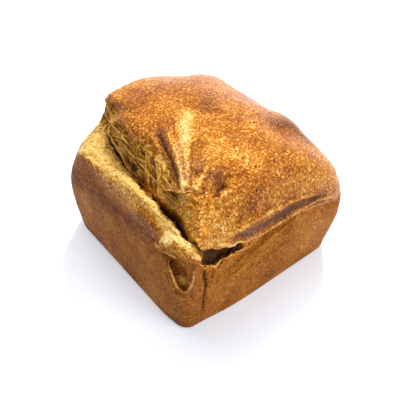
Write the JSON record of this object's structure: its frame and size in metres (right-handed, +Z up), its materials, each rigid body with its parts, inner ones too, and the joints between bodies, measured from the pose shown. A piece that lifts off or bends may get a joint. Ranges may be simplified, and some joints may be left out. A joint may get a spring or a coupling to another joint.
{
  "type": "sweet quark loaf",
  "caption": "Square tin-baked sweet quark loaf with a domed brown lid, torn open along its left side over a pale crumb ledge, with a folded flap of crust at the near corner.",
  "frame": {"origin": "middle of the tin's outline, on the flat base that the loaf stands on", "axes": "+Z up; +X along the front wall, away from the torn side; +Y along the torn side, to the back"},
  "size_m": [0.1482, 0.1511, 0.1228],
  "materials": {
    "crust": "baked crust, orange brown, dull gloss",
    "crumb": "torn crumb, pale yellow, matte and porous",
    "bran": "dark bran flecks, matte"
  },
  "bodies": {
    "root": {"loaf": "crust"}
  },
  "joints": []
}
